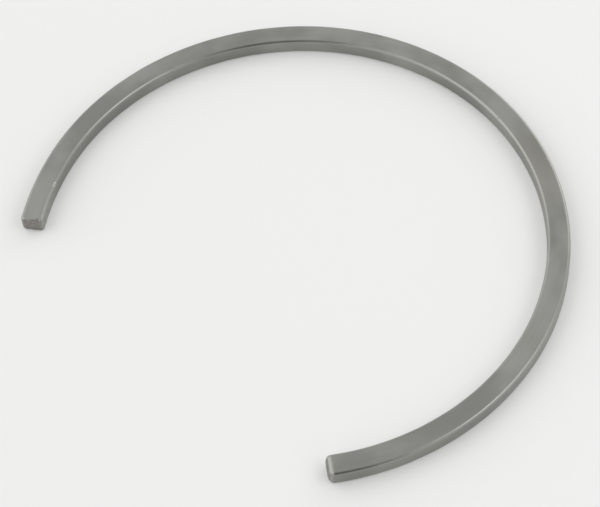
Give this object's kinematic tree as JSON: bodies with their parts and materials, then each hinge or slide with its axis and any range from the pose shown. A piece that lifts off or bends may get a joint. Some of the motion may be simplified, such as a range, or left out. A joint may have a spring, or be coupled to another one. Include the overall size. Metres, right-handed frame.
{
  "type": "locating ring",
  "caption": "Open C-shaped ring coiled on edge from flat steel wire, which snaps into a groove and locates a bearing or sleeve along its axis.",
  "frame": {"origin": "centre of the coiled circle, half way between the ring's two flat faces", "axes": "+Z is the ring's axis, square to its flat faces; the gap between the cropped ends is centred on -Y, and +Y points at the middle of the coil"},
  "size_m": [0.072, 0.0584, 0.0024],
  "materials": {
    "ring_steel": "tumbled, satin grey"
  },
  "bodies": {
    "root": {"locating_ring": "ring_steel"}
  },
  "joints": []
}
